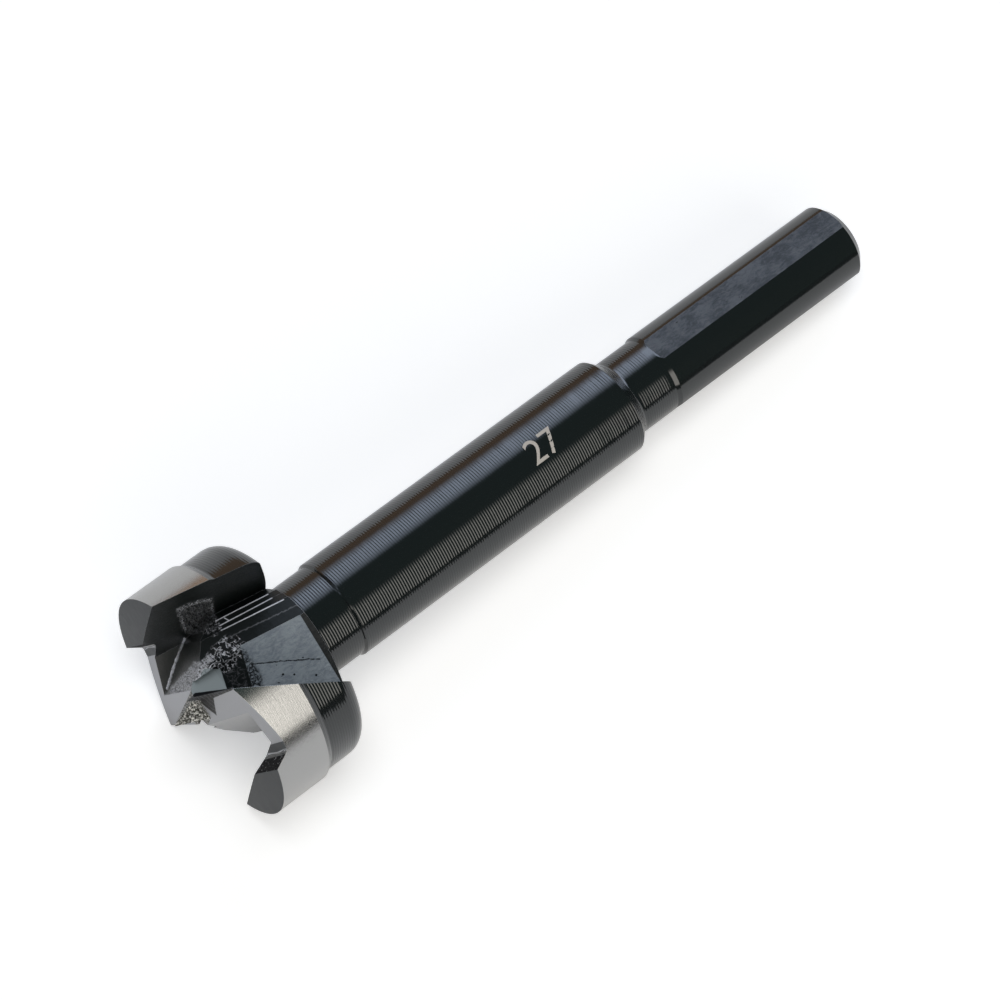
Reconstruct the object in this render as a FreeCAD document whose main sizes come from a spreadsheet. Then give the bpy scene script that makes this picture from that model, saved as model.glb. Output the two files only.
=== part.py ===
import FreeCAD, Part
import Sketcher
import math
import os

# Forstner bit, 26.99 mm (1 1/16 in) over the rim, on a 9.525 mm (3/8 in) shank with three flats.
# It is one forging, turned along the shaft and ground on the rim and the cutting faces.
#
# The bit is drawn standing on the end of its shank: Z runs from the shank's end to the point.
# X runs along the cutting edges. The wing on +X cuts towards +Y, its twin on -X towards -Y.
# Depths are measured back from the rim plane, the plane of the spur tips.
# At the end the finished bit is laid down the way it comes to rest.

SIZES = [
    # shaft
    ("rim_height", 91.95, "end of the shank to the rim plane"),
    ("shank_diameter", 9.525, "round part of the shank"),
    ("shank_length", 28.6, "end of the shank to the relief behind the collar"),
    ("shank_end_chamfer", 0.9, "chamfer on the end of the shank"),
    ("shank_step", 0.45, "length of the slope between relief and shank"),
    ("flat_distance", 4.48, "axis to each flat of the shank"),
    ("flat_angle", 34.2, "direction of the first flat, from X"),
    ("flat_count", 3, "flats round the shank"),
    ("relief_diameter", 9.08, "turned relief behind the collar"),
    ("relief_length", 4.9, "relief, from the shank to the foot of the shoulder"),
    ("shoulder_length", 1.35, "axial length of the collar's rear chamfer"),
    ("shoulder_radius", 0.8, "hollow at the foot of the rear chamfer"),
    ("collar_diameter", 11.51, "turned collar"),
    ("collar_length", 39.25, "collar between its two chamfers"),
    ("collar_front_chamfer", 0.3, "axial length of the step down to the neck"),
    ("neck_diameter", 11.0, "turned neck behind the head"),
    # head blank
    ("head_diameter", 26.99, "ground rim"),
    ("band_length", 6.05, "ground band, rim plane to its rear edge"),
    ("band_step", 0.7, "axial length of the slope behind the band"),
    ("body_diameter", 26.14, "forged body behind the band"),
    ("body_depth", 11.4, "depth at which the line of the back would meet the body"),
    ("back_radius", 2.1, "round corner at the back of the head"),
    ("back_depth", 13.4, "depth at which the back of the head meets the neck"),
    ("centre_rise", 0.75, "height of the cutting edges at the point, ahead of the rim plane"),
    # chip gullets
    ("web", 1.12, "half the thickness of the web, also how far each edge runs ahead of centre"),
    ("rake", 31.0, "rake angle of the cutting faces"),
    ("floor_offset", 1.56, "axis to the gullet's floor at the rim plane"),
    ("floor_turn", 10.0, "turn of the floor about the axis, from square to the cutting edge"),
    ("floor_slope", 16.8, "angle of the gullet's floor to the axis"),
    ("floor_top", 3.92, "upper edge of the floor at the rim plane"),
    ("floor_top_slope", 7.6, "angle of that edge to the axis"),
    ("core_bevel", 2.75, "width of the core's bevel beside the floor"),
    ("core_bevel_angle", 48.0, "direction of that bevel"),
    ("ridge_count", 3, "forging ridges along the crest beside the bevel"),
    ("ridge_spacing", 1.2, "one ridge to the next"),
    ("ridge_height", 0.2, "height of each ridge"),
    ("core_crest_angle", 27.0, "direction of the crest, from ridge to ridge"),
    ("core_foot_angle", 12.0, "direction from the last ridge to the trailing face"),
    ("trail_offset", 9.1, "axis to the trailing face at the rim plane"),
    ("trail_slope", 14.0, "angle of the trailing face to the axis"),
    ("trail_angle", 19.1, "turn of the trailing face from the cutting edge"),
    # ground faces at the centre
    ("gash_width", 2.75, "ground gash, from X to its upper side"),
    ("gash_depth", 3.2, "bottom of the gash"),
    ("gash_lean", 45.0, "angle of the gash's end wall to the axis"),
    ("gash_radius", 0.4, "round between the gash and its end wall"),
    # front of each wing
    ("clearance", 13.8, "clearance angle behind each cutting edge"),
    ("notch_depth", 1.85, "bottom of the rim notch"),
    ("notch_distance", 8.7, "axis to the notch wall at the rim plane"),
    ("notch_lean", 32.0, "angle of the notch wall to the axis"),
    ("notch_radius", 0.6, "round bottom of the rim notch"),
    ("land_width", 3.2, "ground land behind each cutting edge"),
    ("ramp_angle", 46.5, "fall of the forged ramp behind the land"),
    ("ramp_depth", 4.6, "depth at which the ramp steepens"),
    ("ramp_end_angle", 68.0, "fall of its steeper end"),
    ("wall_distance", 11.25, "axis to the inside of the front spur at the rim plane"),
    ("wall_angle", 25.0, "direction in which that inside faces"),
    ("wall_slope", 22.0, "angle of that inside to the axis"),
    # point
    ("point_height", 3.32, "tip of the point ahead of the rim plane"),
    ("point_width", 2.9, "width of the point at the rim plane"),
    ("point_tip", 0.1, "width of the blunt tip"),
]

AHEAD = 4.0        # how far the tapering cuts start ahead of the rim plane
BEHIND = 0.3       # how far they run on behind the head's back


def make_sheet(doc):
    """Puts the driving dimensions into a spreadsheet, one alias each."""
    sheet = doc.addObject("Spreadsheet::Sheet", "Sizes")
    for row, (alias, value, meaning) in enumerate(SIZES, start=1):
        sheet.set(f"A{row}", meaning)
        sheet.set(f"B{row}", str(value))
        sheet.setAlias(f"B{row}", alias)
    doc.recompute()
    return sheet


def size(alias):
    """The expression that reads one driving dimension."""
    return f"Sizes.{alias}"


def slope(alias):
    """The expression for the tangent of an angle."""
    return f"tan(Sizes.{alias} * 1 deg)"


def sine(alias):
    """The expression for the sine of an angle."""
    return f"sin(Sizes.{alias} * 1 deg)"


def cosine(alias):
    """The expression for the cosine of an angle."""
    return f"cos(Sizes.{alias} * 1 deg)"


def bind(thing, prop, expression):
    """Ties a property to an expression."""
    thing.setExpression(prop, str(expression))


class Outline:
    """A closed sketch of straight runs. A corner is (x, y) or (x, y, radius), all expressions."""

    def __init__(self, doc, name, rotation=None, base_z=None):
        self.sketch = doc.addObject("Sketcher::SketchObject", name)
        if rotation is not None:
            self.sketch.Placement = FreeCAD.Placement(FreeCAD.Vector(), rotation)
        if base_z is not None:
            bind(self.sketch, "Placement.Base.z", base_z)

    def value(self, expression):
        result = self.sketch.evalExpression(str(expression))
        return float(getattr(result, "Value", result))

    def draw(self, corners):
        spots = [FreeCAD.Vector(self.value(c[0]), self.value(c[1])) for c in corners]
        ends = [self.ends_at(spots, n, self.value(c[2]) if len(c) > 2 else 0)
                for n, c in enumerate(corners)]
        lines = [self.add_line(ends[n][1], ends[(n + 1) % len(ends)][0]) for n in range(len(ends))]
        for n, corner in enumerate(corners):
            if len(corner) > 2:
                self.round_corner(lines[n - 1], lines[n], spots[n], ends[n], corner)
            else:
                self.join("Coincident", lines[n - 1], 2, lines[n], 1)
                self.fix_point(lines[n], 1, corner)
        return self.sketch

    @staticmethod
    def ends_at(spots, n, radius):
        """Where the runs before and after a corner stop, with room for its round."""
        spot = spots[n]
        if radius == 0:
            return spot, spot
        back = (spots[n - 1] - spot).normalize()
        ahead = (spots[(n + 1) % len(spots)] - spot).normalize()
        reach = radius / math.tan(back.getAngle(ahead) / 2)
        return spot + back * reach, spot + ahead * reach

    def add_line(self, start, end):
        return self.sketch.addGeometry(Part.LineSegment(start, end), False)

    def join(self, kind, *picks):
        return self.sketch.addConstraint(Sketcher.Constraint(kind, *picks))

    def fix_point(self, geometry, position, corner):
        """Ties a point to the expressions of its two coordinates."""
        for kind, expression in (("DistanceX", corner[0]), ("DistanceY", corner[1])):
            value = self.value(expression)
            index = self.sketch.addConstraint(
                Sketcher.Constraint(kind, -1, 1, geometry, position, value))
            bind(self.sketch, f"Constraints[{index}]", expression)

    def round_corner(self, before, after, spot, ends, corner):
        """An arc tangent to both runs, whose lines meet at a fixed corner point."""
        radius = self.value(corner[2])
        toward = (ends[0] - spot).normalize() + (ends[1] - spot).normalize()
        half_angle = (ends[0] - spot).getAngle(ends[1] - spot) / 2
        middle = spot + toward.normalize() * radius / math.sin(half_angle)
        turns = [math.atan2(end.y - middle.y, end.x - middle.x) for end in ends]
        forward = (turns[1] - turns[0]) % (2 * math.pi) < math.pi
        first, last = turns if forward else reversed(turns)
        circle = Part.Circle(middle, FreeCAD.Vector(0, 0, 1), radius)
        arc = self.sketch.addGeometry(Part.ArcOfCircle(circle, first, last), False)
        self.join("Tangent", before, 2, arc, 1 if forward else 2)
        self.join("Tangent", after, 1, arc, 2 if forward else 1)
        point = self.sketch.addGeometry(Part.Point(spot), True)
        self.fix_point(point, 1, corner)
        self.join("PointOnObject", point, 1, before)
        self.join("PointOnObject", point, 1, after)
        index = self.sketch.addConstraint(Sketcher.Constraint("Radius", arc, radius))
        bind(self.sketch, f"Constraints[{index}]", corner[2])


UPRIGHT = FreeCAD.Rotation(FreeCAD.Vector(1, 0, 0), 90)                 # sketch y becomes Z
ACROSS = FreeCAD.Rotation(FreeCAD.Vector(0, 1, 0), FreeCAD.Vector(0, 0, 1),
                          FreeCAD.Vector(1, 0, 0), "XYZ")              # sketch x becomes Y, y becomes Z


def revolve(doc, name, sketch):
    """Turns an upright outline about Z."""
    turned = doc.addObject("Part::Revolution", name)
    turned.Source = sketch
    turned.Axis = FreeCAD.Vector(0, 0, 1)
    turned.Base = FreeCAD.Vector(0, 0, 0)
    turned.Angle = 360
    turned.Solid = True
    return turned


def extrude(doc, name, sketch, direction, forward, backward="0"):
    """Pushes an outline straight along a direction."""
    block = doc.addObject("Part::Extrusion", name)
    block.Base = sketch
    block.DirMode = "Custom"
    block.Dir = direction
    block.Solid = True
    bind(block, "LengthFwd", forward)
    bind(block, "LengthRev", backward)
    return block


def half_turn(doc, tool):
    """The same tool for the opposite wing."""
    twin = doc.addObject("Part::Mirroring", tool.Name + "_across_x")
    twin.Source = tool
    twin.Normal = FreeCAD.Vector(1, 0, 0)
    again = doc.addObject("Part::Mirroring", tool.Name + "_opposite")
    again.Source = twin
    again.Normal = FreeCAD.Vector(0, 1, 0)
    return again


def shaft(doc):
    """Shank, relief, collar and neck, turned in one. The neck runs on into the head."""
    half = {key: f"{size(key + '_diameter')} / 2" for key in ("shank", "relief", "collar", "neck")}
    relief_start = size("shank_length")
    shoulder_foot = f"({relief_start} + {size('relief_length')})"
    collar_start = f"({shoulder_foot} + {size('shoulder_length')})"
    collar_end = f"({collar_start} + {size('collar_length')})"
    neck_start = f"({collar_end} + {size('collar_front_chamfer')})"
    neck_end = f"{size('rim_height')} - {size('body_depth')}"
    outline = Outline(doc, "shaft_outline", UPRIGHT)
    outline.draw([
        ("0", "0"),
        (f"{half['shank']} - {size('shank_end_chamfer')}", "0"),
        (half["shank"], size("shank_end_chamfer")),
        (half["shank"], f"{relief_start} - {size('shank_step')}"),
        (half["relief"], relief_start),
        (half["relief"], shoulder_foot, size("shoulder_radius")),
        (half["collar"], collar_start),
        (half["collar"], collar_end),
        (half["neck"], neck_start),
        (half["neck"], neck_end),
        ("0", neck_end),
    ])
    return revolve(doc, "turned_shaft", outline.sketch)


def shank_flats(doc):
    """The flats that the chuck's jaws bear on, from the end of the shank to the relief."""
    flats = []
    for number in range(int(doc.Sizes.flat_count)):
        outline = Outline(doc, f"flat_{number + 1}_outline")
        outline.draw([
            (size("flat_distance"), f"-{size('shank_diameter')}"),
            (size("shank_diameter"), f"-{size('shank_diameter')}"),
            (size("shank_diameter"), size("shank_diameter")),
            (size("flat_distance"), size("shank_diameter")),
        ])
        turn = f"{size('flat_angle')} + 360 / {size('flat_count')} * {number}"
        outline.sketch.Placement.Rotation = FreeCAD.Rotation(FreeCAD.Vector(0, 0, 1), 1)
        bind(outline.sketch, "Placement.Rotation.Angle", turn)
        flats.append(extrude(doc, f"flat_{number + 1}", outline.sketch,
                             FreeCAD.Vector(0, 0, 1), size("shank_length")))
    return flats


def head_blank(doc):
    """The forged disc before the wings are cut: ground band, body, rounded back and low cone."""
    rim = f"{size('head_diameter')} / 2"
    body = f"{size('body_diameter')} / 2"
    outline = Outline(doc, "head_outline", UPRIGHT, size("rim_height"))
    outline.draw([
        ("0", size("centre_rise")),
        (size("web"), size("centre_rise")),
        (rim, "0"),
        (rim, f"-{size('band_length')}"),
        (body, f"-{size('band_length')} - {size('band_step')}"),
        (body, f"-{size('body_depth')}", size("back_radius")),
        (f"{size('neck_diameter')} / 2", f"-{size('back_depth')}"),
        ("0", f"-{size('back_depth')}"),
    ])
    return revolve(doc, "head_blank", outline.sketch)


def ridge_corners(start_x, start_y, number):
    """The peak of one ridge and the foot of its steep side, counted from the start of the crest."""
    height = size("ridge_height")
    along = f"{size('ridge_spacing')} * {number}"
    across, up = cosine("core_crest_angle"), sine("core_crest_angle")
    return [
        (f"({start_x} - {along} * {across} + {height} * {up})",
         f"({start_y} + {along} * {up} + {height} * {across})"),
        (f"({start_x} - ({along} + {height}) * {across})",
         f"({start_y} + ({along} + {height}) * {up})"),
    ]


def gullet_corners(depth, ridge_count):
    """Corners of the gullet across the axis, at a depth behind the rim plane."""
    far = size("head_diameter")
    rake_line = f"{size('web')} - {slope('rake')} * ({depth})"
    floor = f"({size('floor_offset')} + {slope('floor_slope')} * ({depth}))"
    floor_y = f"({size('floor_top')} - {slope('floor_top_slope')} * ({depth}))"
    floor_x = f"(({floor} + {floor_y} * {sine('floor_turn')}) / {cosine('floor_turn')})"
    foot_x = f"(({floor} + ({rake_line}) * {sine('floor_turn')}) / {cosine('floor_turn')})"
    bevel_x = f"({floor_x} - {size('core_bevel')} * {cosine('core_bevel_angle')})"
    bevel_y = f"({floor_y} + {size('core_bevel')} * {sine('core_bevel_angle')})"
    ridges = [corner for number in range(ridge_count)
              for corner in ridge_corners(bevel_x, bevel_y, number)]
    crest_x, crest_y = ridges[-1]
    trail = f"({size('trail_offset')} - {slope('trail_slope')} * ({depth}))"
    run = (f"(({trail} + {sine('trail_angle')} * {crest_x} - {cosine('trail_angle')} * {crest_y})"
           f" / sin((Sizes.trail_angle + Sizes.core_foot_angle) * 1 deg))")
    return [
        (far, rake_line),
        (foot_x, rake_line),
        (floor_x, floor_y),
        *ridges,
        (f"{crest_x} - {run} * {cosine('core_foot_angle')}",
         f"{crest_y} + {run} * {sine('core_foot_angle')}"),
        (far, f"({trail} + {sine('trail_angle')} * {far}) / {cosine('trail_angle')}"),
    ]


def loft(doc, name, corners_at):
    """A tapering block between a section ahead of the head and one behind it."""
    sections = []
    for label, depth in (("ahead", f"-{AHEAD}"), ("behind", f"{size('back_depth')} + {BEHIND}")):
        outline = Outline(doc, f"{name}_{label}", None, f"{size('rim_height')} - ({depth})")
        sections.append(outline.draw(corners_at(depth)))
    block = doc.addObject("Part::Loft", name)
    block.Sections = sections
    block.Solid = True
    block.Ruled = True
    return block


def gullet(doc):
    """The chip gullet: cutting face, floor, ridged core and the trailing face of the next wing."""
    ridge_count = int(doc.Sizes.ridge_count)
    return loft(doc, "gullet", lambda depth: gullet_corners(depth, ridge_count))


def gash(doc):
    """The ground gash that thins the web beside the point and runs out in a leaning wall."""
    far = f"{size('head_diameter')} / 4"
    outline = Outline(doc, "gash_outline", UPRIGHT, size("rim_height"))
    outline.draw([
        (size("web"), size("point_height")),
        (size("web"), f"-{size('gash_depth')}", size("gash_radius")),
        (far, f"-{size('gash_depth')} - ({far} - {size('web')}) / {slope('gash_lean')}"),
        (far, size("point_height")),
    ])
    slab = extrude(doc, "gash_slab", outline.sketch, FreeCAD.Vector(0, 1, 0),
                   size("gash_width"), size("head_diameter"))
    side = Outline(doc, "gash_side_outline", ACROSS, size("rim_height"))
    top = size("point_height")
    side.draw([
        (f"{size('web')} + {slope('rake')} * {top}", top),
        (f"{size('web')} - {slope('rake')} * {size('head_diameter')} / 2", f"-{size('head_diameter')} / 2"),
        (size("head_diameter"), f"-{size('head_diameter')} / 2"),
        (size("head_diameter"), top),
    ])
    ahead = extrude(doc, "gash_ahead_of_face", side.sketch, FreeCAD.Vector(1, 0, 0),
                    size("head_diameter"))
    return common(doc, "gash", slab, ahead)


def common(doc, name, one, other):
    overlap = doc.addObject("Part::Common", name)
    overlap.Base = one
    overlap.Tool = other
    return overlap


def lean(block):
    """Leans a cut along X with the low cone of the blank, so that each edge rises to the point."""
    fall = f"{size('centre_rise')} / ({size('head_diameter')} / 2 - {size('web')})"
    bind(block, "Dir.z", f"-{fall}")
    bind(block.Base, "Placement.Base.z", f"{size('rim_height')} + {fall} * {size('head_diameter')} / 2")
    return block


def relief(doc):
    """The ground clearance behind a cutting edge, ending in the round notch that parts the spurs."""
    top = size("point_height")
    edge = size("web")
    rise = size("centre_rise")
    wall_foot = f"({size('notch_distance')} - {slope('notch_lean')} * {size('notch_depth')})"
    root_start = f"({size('notch_depth')} / {slope('clearance')} - {edge})"
    outline = Outline(doc, "relief_outline", ACROSS, size("rim_height"))
    outline.draw([
        (f"{edge} + {rise}", f"{rise} * {slope('clearance')}"),
        (f"-{root_start}", f"-{size('notch_depth')}"),
        (f"-{wall_foot}", f"-{size('notch_depth')}", size("notch_radius")),
        (f"-({size('notch_distance')} + {slope('notch_lean')} * {top})", top),
        (f"{edge} + {rise}", top),
    ])
    return lean(extrude(doc, "relief_cut", outline.sketch, FreeCAD.Vector(1, 0, 0),
                        size("head_diameter"), f"{size('point_width')} / 2"))


def pocket(doc):
    """The forged hollow between the ground land, the front spur and the trailing face."""
    land_end = f"({size('land_width')} - {size('web')})"
    land_drop = f"({size('land_width')} * {slope('clearance')})"
    reach = size("head_diameter")
    turn = f"({land_end} + ({size('ramp_depth')} - {land_drop}) / {slope('ramp_angle')})"
    outline = Outline(doc, "ramp_outline", ACROSS, size("rim_height"))
    outline.draw([
        (f"-{land_end}", f"-{land_drop}"),
        (f"-{turn}", f"-{size('ramp_depth')}"),
        (f"-({turn} + {reach} / {slope('ramp_end_angle')})", f"-({size('ramp_depth')} + {reach})"),
        (f"-({turn} + {reach} / {slope('ramp_end_angle')})", size("point_height")),
        (f"-{land_end}", size("point_height")),
    ])
    ramp = lean(extrude(doc, "ramp_cut", outline.sketch, FreeCAD.Vector(1, 0, 0), reach,
                        f"{size('head_diameter')} / 4"))

    def corners(depth):
        wall = f"({size('wall_distance')} - {slope('wall_slope')} * ({depth}))"
        trail = f"({size('trail_offset')} - {slope('trail_slope')} * ({depth}))"
        between = "cos((Sizes.wall_angle + Sizes.trail_angle) * 1 deg)"
        inside = f"{size('head_diameter')} / 4"
        return [
            (f"({wall} + {inside} * {sine('wall_angle')}) / {cosine('wall_angle')}", inside),
            (f"-{inside}", inside),
            (f"-{inside}", f"-({trail} + {inside} * {sine('trail_angle')}) / {cosine('trail_angle')}"),
            (f"({wall} * {cosine('trail_angle')} - {trail} * {sine('wall_angle')}) / {between}",
             f"-({trail} * {cosine('wall_angle')} - {wall} * {sine('trail_angle')}) / {between}"),
        ]

    walls = loft(doc, "pocket_walls", corners)
    return common(doc, "pocket", ramp, walls)


def centre_point(doc):
    """The four-sided point, standing on the web."""
    point = doc.addObject("Part::Wedge", "point")
    for low, high in (("Xmin", "Xmax"), ("Zmin", "Zmax")):
        bind(point, low, f"-{size('point_width')} / 2")
        bind(point, high, f"{size('point_width')} / 2")
    for low, high in (("X2min", "X2max"), ("Z2min", "Z2max")):
        bind(point, low, f"-{size('point_tip')} / 2")
        bind(point, high, f"{size('point_tip')} / 2")
    point.Ymin = 0
    bind(point, "Ymax", size("point_height"))
    point.Placement = FreeCAD.Placement(FreeCAD.Vector(), UPRIGHT)
    bind(point, "Placement.Base.z", size("rim_height"))
    return point


def fuse(doc, name, shapes):
    joined = doc.addObject("Part::MultiFuse", name)
    joined.Shapes = shapes
    joined.Refine = True
    return joined


def cut(doc, name, base, tool):
    remaining = doc.addObject("Part::Cut", name)
    remaining.Base = base
    remaining.Tool = tool
    return remaining


def cut_all(doc, name, base, tools):
    """Takes the tools away one after the other."""
    for number, tool in enumerate(tools, start=1):
        base = cut(doc, f"{name}_{number}", base, tool)
    return base


def both(doc, *tools):
    """Each tool and the same one for the opposite wing."""
    return [side for tool in tools for side in (tool, half_turn(doc, tool))]


def build(doc):
    """The turned and forged blank, ground from the front, pointed, then fluted and flatted."""
    blank = fuse(doc, "blank", [head_blank(doc), shaft(doc)])
    ground = cut_all(doc, "ground", blank, both(doc, relief(doc), pocket(doc)))
    pointed = fuse(doc, "pointed", [ground, centre_point(doc)])
    fluted = cut_all(doc, "fluted", pointed, both(doc, gullet(doc), gash(doc)))
    bit = cut(doc, "forstner_bit", fluted, fuse(doc, "flats", shank_flats(doc)))
    bit.Refine = True
    return bit


def settle(points, rotation):
    """Turns the bit onto the three feet that it touches the ground with."""
    placed = [rotation.multVec(point) for point in points]
    half_way = sum(point.x for point in placed) / len(placed)
    head = [point for point in placed if point.x < half_way]
    left = min((point for point in head if point.y > 0), key=lambda point: point.z)
    right = min((point for point in head if point.y < 0), key=lambda point: point.z)
    tail = min((point for point in placed if point.x > half_way), key=lambda point: point.z)
    normal = (right - left).cross(tail - left)
    if normal.z < 0:
        normal = normal * -1
    return FreeCAD.Rotation(normal, FreeCAD.Vector(0, 0, 1)).multiply(rotation)


def rest_pose(doc, shape):
    """Lays the bit on its side, over one gullet, with the point towards -X."""
    down = FreeCAD.Rotation(FreeCAD.Vector(0, 0, 1), -(doc.Sizes.trail_angle + 45) / 2)
    lay = FreeCAD.Rotation(FreeCAD.Vector(0, 1, 0), -90)
    rotation = lay.multiply(down)
    points = shape.tessellate(0.05)[0]
    for _ in range(8):
        rotation = settle(points, rotation)
        axis = rotation.multVec(FreeCAD.Vector(0, 0, 1))
        yaw = math.degrees(math.atan2(axis.y, -axis.x))
        rotation = FreeCAD.Rotation(FreeCAD.Vector(0, 0, 1), yaw).multiply(rotation)
    laid = shape.transformed(FreeCAD.Placement(FreeCAD.Vector(), rotation).toMatrix())
    box = laid.optimalBoundingBox(False)
    middle = FreeCAD.Vector(box.Center.x, box.Center.y, box.ZMin)
    return FreeCAD.Placement(middle * -1, rotation)


def main():
    doc = FreeCAD.newDocument("forstner")
    make_sheet(doc)
    bit = build(doc)
    doc.recompute()
    bit.Placement = rest_pose(doc, bit.Shape.copy())
    doc.recompute()
    for thing in doc.Objects:
        if "Invalid" in thing.State or "Error" in thing.State:
            raise RuntimeError(f"{thing.Name} is {thing.State}")
    if bit.Shape.isNull() or not bit.Shape.isValid():
        raise RuntimeError("the bit's shape is not valid")
    if len(bit.Shape.Solids) != 1:
        raise RuntimeError(f"the bit has {len(bit.Shape.Solids)} solids")
    os.makedirs("parts", exist_ok=True)
    bit.Shape.exportStep("parts/forstner_bit.step")
    return bit


BIT = main()
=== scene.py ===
"""Forstner bit lying on a white sweep: blackened turned shaft, ground rim and cutting faces."""

import math

import bpy
from mathutils import Euler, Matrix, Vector


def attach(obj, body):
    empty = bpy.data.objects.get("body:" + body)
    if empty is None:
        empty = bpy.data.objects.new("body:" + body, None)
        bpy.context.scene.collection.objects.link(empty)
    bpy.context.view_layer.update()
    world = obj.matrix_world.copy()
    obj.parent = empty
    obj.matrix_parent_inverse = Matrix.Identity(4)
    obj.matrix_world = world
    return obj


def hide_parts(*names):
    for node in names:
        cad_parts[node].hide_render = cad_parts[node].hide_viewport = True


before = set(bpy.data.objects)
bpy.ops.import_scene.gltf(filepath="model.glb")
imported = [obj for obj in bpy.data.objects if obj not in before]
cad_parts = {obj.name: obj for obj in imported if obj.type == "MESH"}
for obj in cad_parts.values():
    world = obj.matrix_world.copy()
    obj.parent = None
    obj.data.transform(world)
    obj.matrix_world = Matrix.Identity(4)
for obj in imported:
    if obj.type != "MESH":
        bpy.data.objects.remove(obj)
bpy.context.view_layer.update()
MM = 0.001

# The bit's own axes: origin in the middle of the shank's end, Z towards the point,
# X along the cutting edges, in millimetres.
SHANK_END = Vector((47.29, 0.0, 4.666))
LIFT = 4.987              # degrees by which the point's end is raised
ROLL = -24.424            # degrees of roll about the bit's length
RIM = 91.95               # rim plane, from the shank's end
BAND = 6.05               # ground band behind the rim plane
SHANK_STEP = 28.4         # where the shank's flats end
FLAT_ANGLE = 34.2         # direction of the first flat, in degrees
COLLAR_RADIUS = 5.755
RING_PITCH = 0.315
RING_DEPTH = 0.013        # mean height of a ring's crest
RING_SHARE = 0.62         # share of the pitch over which a ring rises
FLOOR_BACK = 12.65        # where the gullet's floor ends, from the rim plane
# The turned profile: height above the shank's end and radius of each corner.
PROFILE = [
    (0.0, 3.8625), (0.9, 4.7625), (28.15, 4.7625), (28.6, 4.54), (33.5, 4.54), (34.85, 5.755),
    (74.1, 5.755), (74.4, 5.5), (78.55, 5.5), (80.55, 13.07), (85.2, 13.07), (85.9, 13.495),
    (91.95, 13.495),
]
# Its rounds: lowest and highest height, height and radius of the middle, and 1 outside or -1 inside.
ROUNDS = [(33.193, 33.728, 33.193, 5.34, -1), (80.137, 82.167, 82.167, 10.97, 1)]

# The camera that took the picture.
CAMERA_PLACE = Vector((-112.53, -109.01, 350.98))
CAMERA_TURN = (24.023, -1.834, -41.028)
CAMERA_LENS = 125.67

# Light. Angles run round the bit's length from the viewer's side; negative is the far side.
VIEWER_TURN = 6.2
KEY_PLACE = (-0.05, -0.08, 0.70)
KEY_SIZE = 0.40
KEY_POWER = 2.5
FLOOR_LIFT = 0.42
MIRRORED_LIFT = 0.25       # share of that lift in what the metal mirrors
DIFFUSE_SHARE = 0.35       # share of the softboxes that lights dull surfaces
FAR_BOX = (2.24, 2.59, 3.22, 1)
NEAR_BOX = (2.25, 2.18, 2.04)
ROOM = (0.04, 0.06, 0.058, 1)
BROWN = (0.38, 0.25, 0.16, 1)
NEAR_BOX_END = 0.31
SURROUND = [
    (-180, (0.6, 0.6, 0.6, 1)),
    (-110, (0.6, 0.6, 0.6, 1)),
    (-104, BROWN),
    (-88, BROWN),
    (-70, FAR_BOX),
    (-52, FAR_BOX),
    (-33, ROOM),
    (180, ROOM),
]
FIGURE_SIZE = 4.1          # size mark: letter height setting, place from the shank's end and turn
FIGURE_PLACE = 46.2
FIGURE_TURN = 13.0
CARD_PLACE = -0.125        # dark sheet in front of the bit, seen only in reflections as painted shade
CARD_HEIGHT = 0.028


def bit_rotation():
    lay = Euler((0, math.radians(-90 + LIFT), 0)).to_matrix()
    roll = Euler((0, 0, math.radians(ROLL))).to_matrix()
    return lay @ roll


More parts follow.
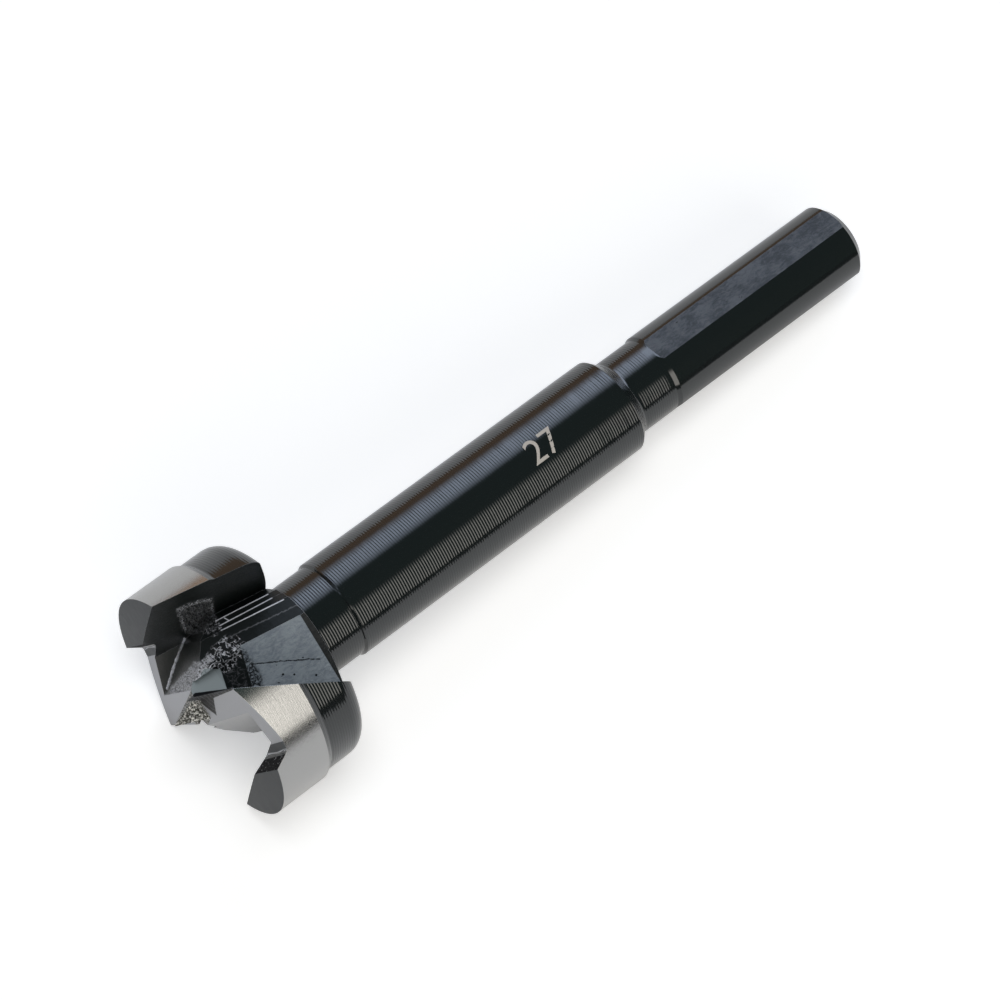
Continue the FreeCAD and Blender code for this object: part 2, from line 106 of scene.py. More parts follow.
class Nodes:
    """Short ways to write a material's nodes."""

    def __init__(self, tree):
        self.tree = tree

    def add(self, kind, **settings):
        node = self.tree.nodes.new("ShaderNode" + kind)
        for name, value in settings.items():
            setattr(node, name, value)
        return node

    def feed(self, socket, value):
        if isinstance(value, bpy.types.NodeSocket):
            self.tree.links.new(value, socket)
        elif value is not None:
            socket.default_value = value

    def math(self, operation, *values, clamp=False):
        node = self.add("Math", operation=operation, use_clamp=clamp)
        for socket, value in zip(node.inputs, values):
            self.feed(socket, value)
        return node.outputs[0]

    def all_of(self, *values):
        """The product: on only where all of them are."""
        total = values[0]
        for value in values[1:]:
            total = self.math("MULTIPLY", total, value)
        return total

    def any_of(self, *values):
        """The greatest: on where any of them is."""
        total = values[0]
        for value in values[1:]:
            total = self.math("MAXIMUM", total, value)
        return total

    def dot(self, vector, other):
        node = self.add("VectorMath", operation="DOT_PRODUCT")
        self.feed(node.inputs[0], vector)
        node.inputs[1].default_value = other
        return node.outputs["Value"]

    def ramp(self, value, *stops, smooth=False):
        """Colour by value. A stop is (place, colour)."""
        node = self.add("ValToRGB")
        node.color_ramp.interpolation = "EASE" if smooth else "LINEAR"
        elements = node.color_ramp.elements
        while len(elements) < len(stops):
            elements.new(1)
        for element, (place, colour) in zip(elements, stops):
            element.position = place
            element.color = colour
        self.feed(node.inputs[0], value)
        return node.outputs[0]

    def between(self, value, low, high, low_to=0.0, high_to=1.0):
        node = self.add("MapRange", interpolation_type="SMOOTHSTEP")
        for socket, number in zip(node.inputs, (value, low, high, low_to, high_to)):
            self.feed(socket, number)
        return node.outputs[0]

    def mix(self, factor, one, other):
        node = self.add("Mix", data_type="RGBA")
        self.feed(node.inputs["Factor"], factor)
        self.feed(node.inputs[6], one)
        self.feed(node.inputs[7], other)
        return node.outputs[2]

    def noise(self, vector, scale, detail=3.0, rough=0.5):
        node = self.add("TexNoise")
        self.feed(node.inputs["Vector"], vector)
        node.inputs["Scale"].default_value = scale
        node.inputs["Detail"].default_value = detail
        node.inputs["Roughness"].default_value = rough
        return node.outputs["Fac"]

    def stretched(self, vector, scale):
        node = self.add("VectorMath", operation="MULTIPLY")
        self.feed(node.inputs[0], vector)
        node.inputs[1].default_value = scale
        return node.outputs[0]

    def apart(self, vector, place):
        """Distance from a place."""
        node = self.add("VectorMath", operation="DISTANCE")
        self.feed(node.inputs[0], vector)
        self.feed(node.inputs[1], place)
        return node.outputs["Value"]

    def from_line(self, vector, start, end):
        """Distance from the straight line between two places."""
        run = Vector(end) - Vector(start)
        off = self.add("VectorMath", operation="SUBTRACT")
        self.feed(off.inputs[0], vector)
        off.inputs[1].default_value = start
        share = self.math("DIVIDE", self.dot(off.outputs[0], run), run.length_squared, clamp=True)
        step = self.add("VectorMath", operation="SCALE")
        step.inputs[0].default_value = run
        self.feed(step.inputs["Scale"], share)
        return self.apart(off.outputs[0], step.outputs[0])

    def marks(self, vector, places, width, soft):
        """1 on the lines or spots at these places, fading to 0 beyond their half width."""
        total = None
        for place in places:
            far = self.from_line(vector, *place) if len(place) == 2 else self.apart(vector, place)
            here = self.between(far, width, width + soft, 1.0, 0.0)
            total = here if total is None else self.math("MAXIMUM", total, here)
        return total

    def inside(self, vector, corners, soft):
        """1 inside a convex outline, given clockwise as seen with the second direction down."""
        least = None
        for (x, y), (next_x, next_y) in zip(corners, corners[1:] + corners[:1]):
            across = Vector((y - next_y, next_x - x, 0)).normalized()
            far = self.math("SUBTRACT", self.dot(vector, across), across.dot(Vector((x, y, 0))))
            least = far if least is None else self.math("MINIMUM", least, far)
        return self.between(least, -soft, soft)

    def edges(self, rounded):
        """1 where the rounded direction leaves the face's own: along the edges."""
        facing = self.add("VectorMath", operation="DOT_PRODUCT")
        self.feed(facing.inputs[0], rounded)
        self.feed(facing.inputs[1], self.add("NewGeometry").outputs["True Normal"])
        return self.between(facing.outputs["Value"], 0.90, 0.99, 1.0, 0.0)

    def shake(self, vector, scale, reach):
        """The place moved about by noise, so that a mark's outline is uneven."""
        cloud = self.add("TexNoise")
        self.feed(cloud.inputs["Vector"], vector)
        cloud.inputs["Scale"].default_value = scale
        cloud.inputs["Detail"].default_value = 4.0
        spread = self.add("VectorMath", operation="MULTIPLY_ADD")
        self.feed(spread.inputs[0], cloud.outputs["Color"])
        spread.inputs[1].default_value = (2 * reach,) * 3
        spread.inputs[2].default_value = (-reach,) * 3
        moved = self.add("VectorMath", operation="ADD")
        self.feed(moved.inputs[0], vector)
        self.feed(moved.inputs[1], spread.outputs[0])
        return moved.outputs[0]

    def bump(self, height, distance, normal=None, strength=1.0):
        node = self.add("Bump")
        self.feed(node.inputs["Strength"], strength)
        node.inputs["Distance"].default_value = distance
        self.feed(node.inputs["Height"], height)
        self.feed(node.inputs["Normal"], normal)
        return node.outputs[0]


def steel(name, base, roughness, details, metallic=1.0, ior=1.5):
    """A finish with the bit's own coordinates, in millimetres. details adds what varies."""
    material = bpy.data.materials.new(name)
    material.use_nodes = True
    tree = material.node_tree
    nodes = Nodes(tree)
    surface = tree.nodes["Principled BSDF"]
    place = nodes.add("TexCoord").outputs["Object"]
    own = nodes.add("Mapping", vector_type="TEXTURE")
    nodes.feed(own.inputs["Vector"], place)
    own.inputs["Location"].default_value = SHANK_END * MM
    own.inputs["Rotation"].default_value = bit_rotation().to_euler()
    own.inputs["Scale"].default_value = (MM, MM, MM)
    edge = nodes.add("Bevel", samples=4)
    edge.inputs["Radius"].default_value = 0.06 * MM
    surface.inputs["Base Color"].default_value = base
    surface.inputs["Metallic"].default_value = metallic
    surface.inputs["IOR"].default_value = ior
    surface.inputs["Roughness"].default_value = roughness
    details(nodes, surface, own.outputs[0], edge.outputs[0])
    return material


def along(nodes, own):
    split = nodes.add("SeparateXYZ")
    nodes.feed(split.inputs[0], own)
    return split.outputs


def turned(nodes, surface, own, edge):
    """Fine turning rings, a little uneven and faint on the shank, under a black finish."""
    x, y, z = along(nodes, own)
    wobble = nodes.noise(own, 0.7, 2)
    place = nodes.math("MULTIPLY_ADD", wobble, 0.03, z)
    share = nodes.math("FRACT", nodes.math("DIVIDE", place, RING_PITCH))
    rise = nodes.math("DIVIDE", share, RING_SHARE)
    fall = nodes.math("DIVIDE", nodes.math("SUBTRACT", 1.0, share), 1 - RING_SHARE)
    by_stretch = nodes.noise(nodes.stretched(own, (0.1, 0.1, 1.1)), 1.0, 2)
    by_ring = nodes.noise(nodes.stretched(own, (0.05, 0.05, 2.6)), 1.0, 1)
    height = nodes.all_of(
        nodes.math("MINIMUM", rise, fall),
        RING_DEPTH,
        nodes.between(by_stretch, 0.3, 0.65, 0.8, 1.1),
        nodes.between(by_ring, 0.3, 0.6, 0.6, 1.15),
        nodes.between(z, SHANK_STEP + 0.1, SHANK_STEP + 1.6, 0.12, 1.0),
    )
    normal = nodes.bump(height, MM, edge)
    grain = nodes.noise(own, 7.0, 4, 0.7)
    normal = nodes.bump(grain, 0.0015 * MM, normal)
    nodes.feed(surface.inputs["Normal"], normal)
    nodes.feed(surface.inputs["Roughness"], nodes.between(grain, 0.3, 0.7, 0.08, 0.13))


def ground(nodes, surface, own, edge):
    """Wheel-ground steel with faint marks round the rim."""
    marks = nodes.noise(nodes.stretched(own, (0.4, 0.4, 9.0)), 1.0, 4, 0.6)
    grain = nodes.noise(own, 5.0, 4, 0.7)
    normal = nodes.bump(marks, 0.005 * MM, edge)
    normal = nodes.bump(grain, 0.003 * MM, normal)
    nodes.feed(surface.inputs["Normal"], normal)
    nodes.feed(surface.inputs["Roughness"], nodes.between(grain, 0.3, 0.7, 0.17, 0.26))


def gullet_plane(nodes, own):
    """A place as seen flat on the open gullet, in millimetres."""
    flat = nodes.add("CombineXYZ")
    for socket, (direction, start) in zip(flat.inputs, GULLET_PLANE):
        nodes.feed(socket, nodes.math("ADD", nodes.dot(own, direction), start))
    return flat.outputs[0]


def gullet_marks(nodes, own):
    """Where the forging and the grinder have left their marks round the open gullet, and where highlights on
    its crests, folds and edges are painted light.
    """
    flat = gullet_plane(nodes, own)
    rough = nodes.shake(flat, 1.6, 0.45)
    fine = nodes.shake(flat, 3.0, 0.16)
    cloud = nodes.noise(own, 4.2, 4, 0.75)
    specks = nodes.between(cloud, 0.50, 0.60)
    swirl = nodes.noise(nodes.shake(flat, 1.1, 0.7), 1.7, 2, 0.45)
    from_fold = nodes.math("ABSOLUTE", nodes.math("SUBTRACT", swirl, 0.5))
    folds = nodes.between(from_fold, 0.008, 0.05, 1.0, 0.0)
    knot = nodes.marks(rough, KNOT, 1.25, 0.35)
    torn = nodes.marks(fine, TORN, 0.82, 0.15)
    land = nodes.any_of(nodes.marks(rough, LAND[:1], 0.62, 0.45), nodes.marks(rough, LAND[1:], 0.2, 0.3))
    # Light marks: flecks in the torn patch, partly bare metal and partly painted glints; the lighter ground
    # land; and painted highlights, which are glints on the folds of the knot and of the skin behind it, and
    # bright lines on the ridge crests, the crease and faint edges.
    light = nodes.any_of(
        nodes.all_of(torn, specks, 0.42),
        nodes.all_of(nodes.marks(fine, TORN_EDGE, 0.1, 0.2), specks),
        nodes.all_of(knot, folds),
        nodes.all_of(nodes.marks(rough, BEHIND, 0.7, 0.5), folds, 0.12),
        nodes.all_of(land, nodes.between(cloud, 0.40, 0.54, 0.10, 1.2)),
        nodes.all_of(nodes.marks(flat, RIDGE_LINES, 0.03, 0.05), nodes.between(cloud, 0.3, 0.5, 0.45, 1.0)),
        nodes.all_of(nodes.marks(fine, CREASE, 0.08, 0.1), nodes.between(cloud, 0.35, 0.55, 0.4, 1.3)),
        nodes.all_of(nodes.marks(fine, FAINT, 0.02, 0.08), 0.14),
    )
    open_side = nodes.between(nodes.dot(own, (0.3, 1.0, 0.0)), -1.3, -0.8)
    light = nodes.all_of(light, open_side)
    uneven = nodes.all_of(nodes.any_of(torn, knot, land), open_side)
    return flat, light, uneven, cloud, swirl


def cut_facet(nodes, flat):
    """1 on the small ground facet beside the point."""
    return nodes.inside(nodes.shake(flat, 1.5, 0.03), GASH, 0.04)


def foot_groove(nodes, flat):
    """1 in the groove at that facet's foot, whose shade is painted dark."""
    return nodes.inside(nodes.shake(flat, 2.5, 0.04), GROOVE, 0.03)


def face(nodes, surface, own, edge):
    """A flat ground face with a dull, slightly mottled finish, and the hollow and groove beside the point
    painted dark as their shade.
    """
    grain = nodes.noise(own, 3.5, 5, 0.7)
    flat = gullet_plane(nodes, own)
    hatch = nodes.math("SINE", nodes.dot(nodes.shake(flat, 1.5, 0.12), (-12.0, 16.0, 0.0)))
    # The hollow and the groove are painted near-black as their shade.
    hollow = nodes.any_of(nodes.inside(nodes.shake(flat, 2.5, 0.04), HOLLOW, 0.03), foot_groove(nodes, flat))
    hollow = nodes.all_of(hollow, nodes.between(hatch, 0.6, 0.98, 1.0, 0.85))
    shade = nodes.mix(nodes.between(grain, 0.35, 0.65), (0.36, 0.365, 0.385, 1), (0.42, 0.425, 0.445, 1))
    shade = nodes.mix(hollow, shade, HOLLOW_SHADE)
    normal = nodes.bump(grain, 0.012 * MM, edge)
    nodes.feed(surface.inputs["Base Color"], shade)
    nodes.feed(surface.inputs["Normal"], normal)
    nodes.feed(surface.inputs["Roughness"], nodes.between(grain, 0.3, 0.7, 0.35, 0.5))


def point(nodes, surface, own, edge):
    """The brad point: speckled, half-cleaned steel."""
    grain = nodes.noise(own, 6.0, 5, 0.75)
    specks = nodes.between(nodes.noise(own, 4.0, 5, 0.8), 0.48, 0.60)
    groove = foot_groove(nodes, gullet_plane(nodes, own))
    shade = nodes.mix(specks, (0.035, 0.035, 0.03, 1), (0.76, 0.75, 0.71, 1))
    # The groove's shade is painted dark here too.
    nodes.feed(surface.inputs["Base Color"], nodes.mix(groove, shade, GROOVE_SHADE))
    nodes.feed(surface.inputs["Normal"], nodes.bump(grain, 0.06 * MM, edge))
    nodes.feed(surface.inputs["Roughness"], nodes.between(grain, 0.3, 0.7, 0.35, 0.6))


def tooth(nodes, surface, own, edge):
    """A blackened face with faint grinding lines."""
    lines = nodes.noise(nodes.stretched(own, (6.0, 0.8, 0.8)), 1.0, 3, 0.6)
    normal = nodes.bump(lines, 0.006 * MM, edge)
    nodes.feed(surface.inputs["Normal"], normal)
    nodes.feed(surface.inputs["Roughness"], nodes.between(lines, 0.3, 0.7, 0.3, 0.4))


def forged(nodes, surface, own, edge):
    """Blackened forging skin: low waves, fine pits, torn patches, and crests, folds and edges painted light
    as highlights, partly wear.
    """
    flat, light, uneven, cloud, swirl = gullet_marks(nodes, own)
    waves = nodes.noise(own, 0.6, 3, 0.6)
    pits = nodes.noise(own, 4.0, 5, 0.75)
    facet = cut_facet(nodes, flat)
    # Edges are painted light: painted highlights along them, partly wear.
    light = nodes.any_of(light, nodes.all_of(nodes.edges(edge), 0.5))
    uneven = nodes.all_of(uneven, nodes.math("SUBTRACT", 1.0, facet))
    normal = nodes.bump(waves, 0.05 * MM, edge)
    normal = nodes.bump(pits, 0.02 * MM, normal)
    normal = nodes.bump(cloud, 0.35 * MM, normal, uneven)
    normal = nodes.bump(swirl, 0.8 * MM, normal, uneven)
    # Light marks and edges take a bright steel colour: painted highlights, partly wear.
    shade = nodes.mix(light, BLACK, WEAR_AND_HIGHLIGHT)
    nodes.feed(surface.inputs["Base Color"], nodes.mix(facet, shade, CUT_GREY))
    nodes.feed(surface.inputs["Normal"], normal)
    nodes.feed(surface.inputs["Roughness"], nodes.between(pits, 0.3, 0.7, 0.28, 0.42))


def scale_with(light_blue, dark_blue):
    """Blue-grey scale with small pits, black where the forging left off, and edges painted light as
    highlights, partly wear.
    """
    def satin(nodes, surface, own, edge):
        x, y, z = along(nodes, own)
        flat, light, uneven, cloud, swirl = gullet_marks(nodes, own)
        grain = nodes.noise(own, 6.0, 5, 0.7)
        patches = nodes.noise(own, 0.5, 3, 0.5)
        streaks = nodes.noise(nodes.stretched(nodes.shake(own, 0.8, 0.4), (3.2, 3.2, 1.1)), 1.0, 5, 0.75)
        seam = nodes.marks(nodes.shake(flat, 2.0, 0.14), SEAM, 0.03, 0.07)
        burnt = nodes.marks(nodes.shake(flat, 1.0, 0.6), BURNT, 0.7, 0.7)
        pits = nodes.any_of(
            nodes.between(nodes.noise(own, 2.2, 2, 0.4), 0.22, 0.28, 1.0, 0.0),
            nodes.all_of(seam, nodes.between(cloud, 0.35, 0.5)),
            nodes.marks(nodes.shake(flat, 3.0, 0.05), PITS, 0.09, 0.05),
            nodes.all_of(burnt, nodes.between(cloud, 0.42, 0.55)),
        )
        floor_end = RIM - FLOOR_BACK
        gullet = nodes.between(z, 60.0, 61.0)
        u, v, w = along(nodes, nodes.shake(flat, 1.0, 0.5))
        inner = nodes.all_of(gullet, nodes.between(u, 2.95, 3.15, 1.0, 0.0))
        beyond = nodes.all_of(gullet, nodes.between(z, floor_end - 0.05, floor_end, 1.0, 0.0))
        facet = nodes.all_of(cut_facet(nodes, flat), nodes.between(z, 88.0, 88.2))
        # Edges and the light marks are painted bright: painted highlights, partly wear.
        wear_and_highlight = nodes.any_of(nodes.all_of(nodes.edges(edge), 0.45), nodes.all_of(light, inner))
        normal = nodes.bump(grain, 0.02 * MM, edge)
        normal = nodes.bump(streaks, 0.10 * MM, normal)
        normal = nodes.bump(pits, -0.05 * MM, normal)
        normal = nodes.bump(swirl, 0.8 * MM, normal, nodes.all_of(uneven, inner))
        mottle = nodes.math("MULTIPLY_ADD", streaks, 0.6, nodes.all_of(patches, 0.4))
        shade = nodes.mix(nodes.between(mottle, 0.40, 0.60), dark_blue, light_blue)
        shade = nodes.mix(nodes.any_of(pits, inner, beyond), shade, (0.006, 0.008, 0.009, 1))
        shade = nodes.mix(wear_and_highlight, shade, WEAR_AND_HIGHLIGHT)
        nodes.feed(surface.inputs["Base Color"], nodes.mix(facet, shade, CUT_GREY))
        nodes.feed(surface.inputs["Normal"], normal)
        nodes.feed(surface.inputs["Roughness"], nodes.between(grain, 0.3, 0.7, 0.42, 0.55))
    return satin


def gash(nodes, surface, own, edge):
    """The small ground facet beside the point, with the groove at its foot painted dark as its shade."""
    grain = nodes.noise(own, 6.0, 4, 0.7)
    groove = foot_groove(nodes, gullet_plane(nodes, own))
    # The groove is painted dark as its shade.
    nodes.feed(surface.inputs["Base Color"], nodes.mix(groove, CUT_GREY, (0.01, 0.01, 0.012, 1)))
    nodes.feed(surface.inputs["Normal"], nodes.bump(grain, 0.01 * MM, edge))
    nodes.feed(surface.inputs["Roughness"], nodes.between(grain, 0.3, 0.7, 0.45, 0.6))


def sooty(nodes, surface, own, edge):
    """The unpolished bottom of a notch: dull black with a few bright specks, and its edges painted light as
    highlights.
    """
    grain = nodes.noise(own, 5.0, 4, 0.7)
    specks = nodes.between(nodes.noise(own, 3.0, 3, 0.7), 0.62, 0.66)
    # Edges are painted bright here as painted highlights.
    wear_and_highlight = nodes.any_of(specks, nodes.all_of(nodes.edges(edge), 0.6))
    nodes.feed(surface.inputs["Base Color"], nodes.mix(wear_and_highlight, (0.009, 0.009, 0.010, 1), (0.45, 0.45, 0.46, 1)))
    nodes.feed(surface.inputs["Normal"], nodes.bump(grain, 0.05 * MM, edge))
    nodes.feed(surface.inputs["Roughness"], nodes.between(grain, 0.3, 0.7, 0.5, 0.7))


def plain(nodes, surface, own, edge):
    """A small cut facet, nearly smooth."""
    grain = nodes.noise(own, 6.0, 4, 0.7)
    nodes.feed(surface.inputs["Normal"], nodes.bump(grain, 0.01 * MM, edge))
    nodes.feed(surface.inputs["Roughness"], nodes.between(grain, 0.3, 0.7, 0.45, 0.6))


# Marks of the forging and the grinder, and lines of painted highlight on crests and edges, laid out flat on
# the open gullet
# in millimetres: spots, or the two ends of a line. The plane is two directions in the bit's own axes and
# their starts.
GULLET_PLANE = (((0.2905, -0.5800, -0.7808), 70.86), ((-0.0778, -0.8268, 0.5792), -48.30))


def flat_marks(*places):
    """Places on the plane, with lines written as (u, v, u, v)."""
    return [(p[0], p[1], 0.0) if len(p) == 2 else ((p[0], p[1], 0.0), (p[2], p[3], 0.0)) for p in places]


TORN = flat_marks((-2.5, -4.55, -0.7, -5.1), (-2.1, -3.6, -0.3, -3.9), (-0.4, -3.6, 0.3, -3.3))
TORN_EDGE = flat_marks((-3.3, -5.1, -1.9, -5.8), (-1.9, -5.8, 0.1, -6.3), (0.1, -6.3, 0.3, -4.7),
                       (0.3, -4.7, 1.15, -3.1), (-3.3, -5.0, -2.7, -3.2))
CREASE = flat_marks((-2.73, -2.28, -3.13, -1.30), (-3.13, -1.30, -3.91, 0.78), (-3.91, 0.78, -4.56, 2.99))
RIDGE_LINES = flat_marks((0.6, -4.1, 6.04, -6.9), (1.04, -3.58, 6.46, -6.49), (1.17, -3.06, 7.66, -6.29),
                         (1.5, -4.4, 2.0, -4.1))
FAINT = flat_marks((1.44, -2.08, 9.46, -5.89), (3.85, -1.67, 9.85, -4.29))
KNOT = flat_marks((1.0, 0.0, 2.3, -1.2))
BEHIND = flat_marks((2.6, 0.9, 3.0, 2.6))
LAND = flat_marks((-3.4, 3.4, -1.1, 1.1), (-1.1, 1.1, -0.1, -0.1))
GASH = [(-0.6, 0.95), (1.13, 0.95), (1.82, 3.04), (-1.6, 3.6)]
GROOVE = [(-1.5, 3.45), (2.4, 2.95), (2.4, 3.15), (0.5, 3.95), (-2.3, 4.35)]
HOLLOW = [(-1.6, 3.9), (0.45, 3.85), (0.8, 5.8)]
SEAM = flat_marks((3.85, 0.52, 7.8, 0.1), (7.8, 0.1, 11.46, -0.1))
PITS = flat_marks((8.85, 1.52), (11.15, 1.60), (7.66, 1.52), (4.45, 0.52))
BURNT = flat_marks((3.3, 0.2, 4.6, 2.2))
CUT_GREY = (0.34, 0.39, 0.41, 1)
BLACK = (0.0065, 0.0085, 0.0085, 1)
# Painted shade for the hollow and the groove.
HOLLOW_SHADE = (0.004, 0.004, 0.005, 1)
GROOVE_SHADE = (0.012, 0.013, 0.015, 1)
# Bright steel colour for worn places and for painted highlights on crests and edges.
WEAR_AND_HIGHLIGHT = (0.70, 0.715, 0.77, 1)
OXIDE = 1.7               # refractive index of the black skin
MATERIALS = {
    "black_turned": steel("black_turned", BLACK, 0.15, turned, 0.0, OXIDE),
    "ground_rim": steel("ground_rim", (0.46, 0.455, 0.445, 1), 0.22, ground),
    "ground_face": steel("ground_face", (0.38, 0.385, 0.40, 1), 0.40, face),
    "brad_point": steel("brad_point", (0.3, 0.3, 0.3, 1), 0.45, point, 0.5),
    # Lighter than the ground face: the floor's reflection painted into its colour.
    "land_steel_painted_reflection": steel("land_steel_painted_reflection", (0.50, 0.505, 0.52, 1), 0.45, plain, 0.3),
    "black_tooth": steel("black_tooth", (0.08, 0.085, 0.09, 1), 0.35, tooth, 0.0, 1.12),
    "notch_black": steel("notch_black", (0.009, 0.009, 0.010, 1), 0.6, sooty, 0.0, 1.12),
    "gash_facet": steel("gash_facet", CUT_GREY, 0.5, gash, 0.0, 1.5),
    "forged_black": steel("forged_black", BLACK, 0.35, forged, 0.0, 1.5),
    "satin_scale": steel("satin_scale", (0.12, 0.14, 0.16, 1), 0.45,
                         scale_with((0.29, 0.33, 0.365, 1), (0.185, 0.215, 0.25, 1)), 0.0, 1.5),
    "flat_scale": steel("flat_scale", (0.05, 0.06, 0.07, 1), 0.45,
                        scale_with((0.085, 0.095, 0.11, 1), (0.025, 0.03, 0.038, 1)), 0.0, 1.5),
    "size_mark": steel("size_mark", (0.50, 0.46, 0.41, 1), 0.6, plain, 0.0, 1.5),
}


def dress(node):
    """A finished copy of the CAD solid, with a finish for each kind of face."""
    piece = node.copy()
    piece.data = node.data.copy()
    piece.name = "bit"
    bpy.context.scene.collection.objects.link(piece)
    bpy.ops.object.select_all(action="DESELECT")
    bpy.context.view_layer.objects.active = piece
    piece.select_set(True)
    bpy.ops.object.mode_set(mode="EDIT")
    bpy.ops.mesh.select_all(action="SELECT")
    bpy.ops.mesh.remove_doubles(threshold=1e-7)
    bpy.ops.object.mode_set(mode="OBJECT")
    piece.data.materials.clear()
    for material in MATERIALS.values():
        piece.data.materials.append(material)
    names = list(MATERIALS)
    own = bit_rotation()
    spots = [own.transposed() @ (vertex.co / MM - SHANK_END) for vertex in piece.data.vertices]
    normals = []
    for polygon in piece.data.polygons:
        centre = sum((spots[n] for n in polygon.vertices), Vector()) / len(polygon.vertices)
        flat = own.transposed() @ polygon.normal
        polygon.material_index = names.index(finish_of(centre, flat))
        polygon.use_smooth = on_profile(centre, flat)
        for n in polygon.vertices:
            normal = profile_normal(centre, spots[n]) if polygon.use_smooth else flat
            normals.append(own @ normal)
    piece.data.normals_split_custom_set(normals)
    return piece


def run_of(centre):
    """The run of the turned profile that is nearest to a place, and its distance from it."""
    spot = Vector((centre.z, math.hypot(centre.x, centre.y)))
    best = None
    for start, end in zip(PROFILE, PROFILE[1:]):
        along_run = Vector(end) - Vector(start)
        share = min(max((spot - Vector(start)).dot(along_run) / along_run.length_squared, 0), 1)
        distance = (Vector(start) + along_run * share - spot).length
        if best is None or distance < best[0]:
            best = (distance, along_run)
    return best


def round_of(centre):
    """The round of the turned profile that a place lies on, if it does."""
    radius = math.hypot(centre.x, centre.y)
    for low, high, middle, reach, side in ROUNDS:
        size = 2.1 if side > 0 else 0.8
        off = math.hypot(centre.z - middle, radius - reach)
        if low < centre.z < high and abs(off - size) < 0.06 and (radius - reach) * side > 0:
            return middle, reach, side
    return None


def on_profile(centre, flat):
    """Whether a face is part of the turned surface rather than of a cut."""
    outward = Vector((centre.x, centre.y, 0)).normalized()
    sideways = flat - outward * flat.dot(outward)
    if abs(Vector((sideways.x, sideways.y, 0)).length) > 0.12 or flat.z > 0.9:
        return False
    return round_of(centre) is not None or run_of(centre)[0] < 0.05


def profile_normal(centre, spot):
    """The true direction of the turned surface at one corner of a face."""
    outward = Vector((spot.x, spot.y, 0)).normalized()
    found = round_of(centre)
    if found:
        middle, reach, side = found
        away = Vector((spot.z - middle, math.hypot(spot.x, spot.y) - reach)) * side
    else:
        along_run = run_of(centre)[1]
        away = Vector((-along_run.y, along_run.x))
    away.normalize()
    return outward * away.y + Vector((0, 0, away.x))


def finish_of(centre, normal):
    """Which finish a face has, from its place and direction in the bit's own axes."""
    radius = math.hypot(centre.x, centre.y)
    outward = (normal.x * centre.x + normal.y * centre.y) / max(radius, 1e-6)
    depth = RIM - centre.z
    if centre.z < SHANK_STEP and is_flat(normal):
        return "flat_scale"
    if on_profile(centre, normal):
        return "ground_rim" if radius > 12.6 and depth < BAND + 0.1 else "black_turned"
    if depth > 20:
        return "black_turned"
    if normal.z > 0.985 and radius > 8:
        return "black_tooth"
    if depth < 0 and radius < 3:
        return "brad_point"
    if normal.z > 0.9 and depth < 3:
        return "ground_face"
    if abs(normal.x) > 0.97 and radius < 4 and depth < 4 and normal.x * centre.x > 0:
        return "gash_facet"
    if radius > 7 and depth < 4 and 0.4 < normal.z < 0.65 and abs(normal.y) > 0.8:
        return "notch_black"
    if abs(normal.x) > 0.88 and normal.x * centre.x > 0:
        return "satin_scale"
    # This land strip gets a lighter colour as a painted reflection of the floor.
    if normal.z > 0.6 and normal.y < -0.6 and depth < 3.5:
        return "land_steel_painted_reflection"
    return "forged_black"


def is_flat(normal):
    """Whether a face of the shank is one of its three flats."""
    if abs(normal.z) > 0.01:
        return False
    direction = math.degrees(math.atan2(normal.y, normal.x)) - FLAT_ANGLE
    return min(direction % 120, -direction % 120) < 0.5


def numerals():
    """The size mark's plain figures, laid on the collar."""
    bpy.ops.object.select_all(action="DESELECT")
    bpy.ops.object.text_add()
    text = bpy.context.object
    text.name = "figures"
    text.data.body = "27"
    text.data.size = FIGURE_SIZE
    text.data.align_x = "CENTER"
    text.data.align_y = "CENTER"
    text.data.resolution_u = 6
    bpy.ops.object.convert(target="MESH")
    bpy.ops.object.mode_set(mode="EDIT")
    bpy.ops.mesh.select_all(action="SELECT")
    bpy.ops.mesh.remove_doubles(threshold=1e-5)
    bpy.ops.mesh.quads_convert_to_tris()
    bpy.ops.mesh.subdivide(number_cuts=2)
    bpy.ops.object.mode_set(mode="OBJECT")
    figures = bpy.context.object
    own = bit_rotation()
    reach = COLLAR_RADIUS + 0.012
    for vertex in figures.data.vertices:
        turn = math.radians(FIGURE_TURN) + vertex.co.y / COLLAR_RADIUS
        spot = Vector((reach * math.cos(turn), reach * math.sin(turn), FIGURE_PLACE - vertex.co.x))
        vertex.co = SHANK_END * MM + own @ spot * MM
    figures.data.materials.append(MATERIALS["size_mark"])
    return figures


def joined(piece, other):
    bpy.ops.object.select_all(action="DESELECT")
    other.select_set(True)
    piece.select_set(True)
    bpy.context.view_layer.objects.active = piece
    bpy.ops.object.join()
    return piece


def light(name, place, size, power, colour=(1, 1, 1), glossy=True):
    lamp = bpy.data.lights.new(name, "AREA")
    lamp.shape = "RECTANGLE"
    lamp.size, lamp.size_y = size
    lamp.energy = power
    lamp.color = colour
    lamp_object = bpy.data.objects.new(name, lamp)
    bpy.context.scene.collection.objects.link(lamp_object)
    lamp_object.location = place
    lamp_object.rotation_euler = (-Vector(place)).to_track_quat("-Z", "Y").to_euler()
    lamp_object.visible_glossy = glossy
    return lamp_object


def shown(nodes):
    """1 for what the camera sees, for what is seen through glass or in a reflection, and for dull light."""
    path = nodes.add("LightPath").outputs
    mirrored = nodes.math("MAXIMUM", path["Is Glossy Ray"], path["Is Transmission Ray"])
    return path["Is Camera Ray"], mirrored, path["Is Diffuse Ray"]


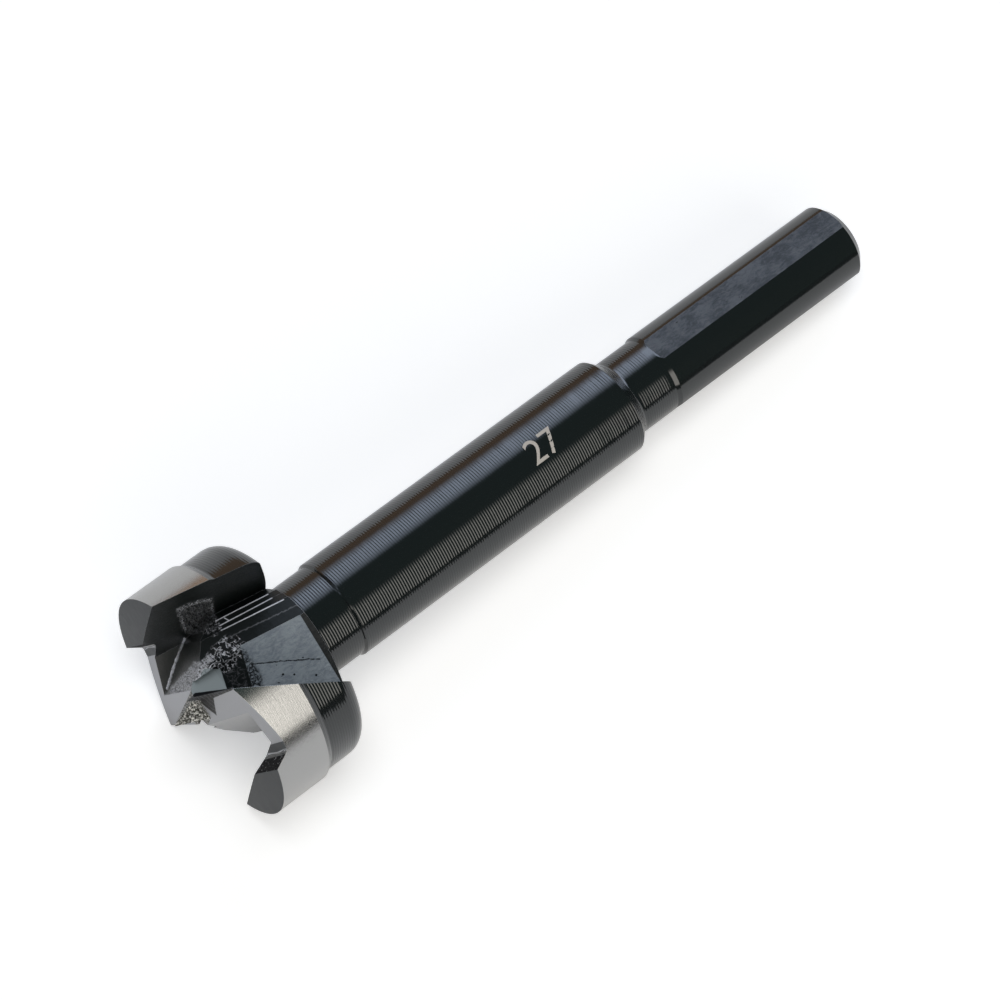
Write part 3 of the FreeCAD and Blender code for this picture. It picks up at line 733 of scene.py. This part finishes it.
def studio():
    """White sweep under a soft key light, with long softboxes on both sides of the bit."""
    bpy.ops.mesh.primitive_plane_add(size=3.0, location=(0, 0, 0))
    floor = bpy.context.object
    floor.name = "floor"
    white = bpy.data.materials.new("sweep")
    white.use_nodes = True
    nodes = Nodes(white.node_tree)
    surface = white.node_tree.nodes["Principled BSDF"]
    surface.inputs["Base Color"].default_value = (0.85, 0.85, 0.85, 1)
    surface.inputs["Roughness"].default_value = 1.0
    surface.inputs["Specular IOR Level"].default_value = 0.0
    surface.inputs["Emission Color"].default_value = (1, 1, 1, 1)
    seen, mirrored, _ = shown(nodes)
    share = nodes.math("MULTIPLY_ADD", mirrored, MIRRORED_LIFT, seen)
    nodes.feed(surface.inputs["Emission Strength"], nodes.math("MULTIPLY", share, FLOOR_LIFT))
    floor.data.materials.append(white)
    shade_card()
    light("key", KEY_PLACE, (KEY_SIZE, KEY_SIZE), KEY_POWER, glossy=False)
    surround()


def shade_card():
    """A low dark sheet in front of the bit, seen only in its reflections: it paints a dark streak of
    reflected shade on the rim.
    """
    bpy.ops.mesh.primitive_plane_add(size=1.0, location=(0, CARD_PLACE, CARD_HEIGHT / 2),
                                     rotation=(math.radians(90), 0, 0))
    bpy.ops.transform.resize(value=(1.2, 1, CARD_HEIGHT), center_override=(0, CARD_PLACE, CARD_HEIGHT / 2))
    bpy.ops.object.transform_apply(location=True, rotation=True, scale=True)
    black = bpy.data.materials.new("shade_card")
    black.use_nodes = True
    surface = black.node_tree.nodes["Principled BSDF"]
    surface.inputs["Base Color"].default_value = (0.02, 0.02, 0.02, 1)
    surface.inputs["Roughness"].default_value = 0.9
    plane = bpy.context.object
    plane.name = "reflected_shade_card"
    plane.data.materials.append(black)
    plane.visible_camera = plane.visible_diffuse = plane.visible_shadow = False
    return plane


def surround():
    """White to the camera and near the floor, and above it a dim room with a softbox on each side."""
    world = bpy.data.worlds.new("studio")
    bpy.context.scene.world = world
    world.use_nodes = True
    nodes = Nodes(world.node_tree)
    background = world.node_tree.nodes["Background"]
    direction = nodes.add("TexCoord").outputs["Generated"]
    own = bit_rotation()
    turn = math.radians(VIEWER_TURN)
    up = nodes.dot(direction, own @ Vector((math.cos(turn), math.sin(turn), 0)))
    side = nodes.dot(direction, own @ Vector((math.sin(turn), -math.cos(turn), 0)))
    back = nodes.dot(direction, own @ Vector((0, 0, -1)))
    angle = nodes.math("ARCTAN2", side, up)
    place = nodes.math("MULTIPLY_ADD", angle, 0.5 / math.pi, 0.5)
    room = nodes.ramp(place, *[((degrees + 180) / 360, shade) for degrees, shade in SURROUND])
    dimmer = nodes.all_of(
        nodes.between(angle, math.radians(-92), math.radians(-70)),
        nodes.between(angle, math.radians(-50), math.radians(-34), 1.0, 0.0),
        nodes.between(back, 0.20, 0.36, 0.95, 0.0),
    )
    room = nodes.mix(dimmer, room, ROOM)
    near = nodes.all_of(
        nodes.between(angle, math.radians(15), math.radians(31)),
        nodes.between(angle, math.radians(65), math.radians(70), 1.0, 0.0),
        nodes.between(back, NEAR_BOX_END - 0.03, NEAR_BOX_END + 0.03, 1.0, 0.0),
    )
    lit = nodes.mix(near, room, NEAR_BOX + (1,))
    seen, mirrored, dull = shown(nodes)
    below = nodes.between(nodes.dot(direction, (0, 0, 1)), -0.02, 0.0, 1.0, 0.0)
    white = nodes.any_of(seen, nodes.all_of(mirrored, below))
    nodes.feed(background.inputs["Color"], nodes.mix(white, lit, (1, 1, 1, 1)))
    nodes.feed(background.inputs["Strength"], nodes.between(dull, 0.0, 1.0, 1.0, DIFFUSE_SHARE))


def camera():
    data = bpy.data.cameras.new("camera")
    data.lens = CAMERA_LENS
    data.sensor_width = 36
    data.clip_start, data.clip_end = 0.01, 10
    place = bpy.data.objects.new("camera", data)
    bpy.context.scene.collection.objects.link(place)
    place.location = CAMERA_PLACE * MM
    place.rotation_euler = [math.radians(a) for a in CAMERA_TURN]
    bpy.context.scene.camera = place


bit = joined(dress(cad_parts["forstner_bit"]), numerals())
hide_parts("forstner_bit")
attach(bit, "root")
studio()
camera()
bpy.context.scene.view_settings.view_transform = "Standard"
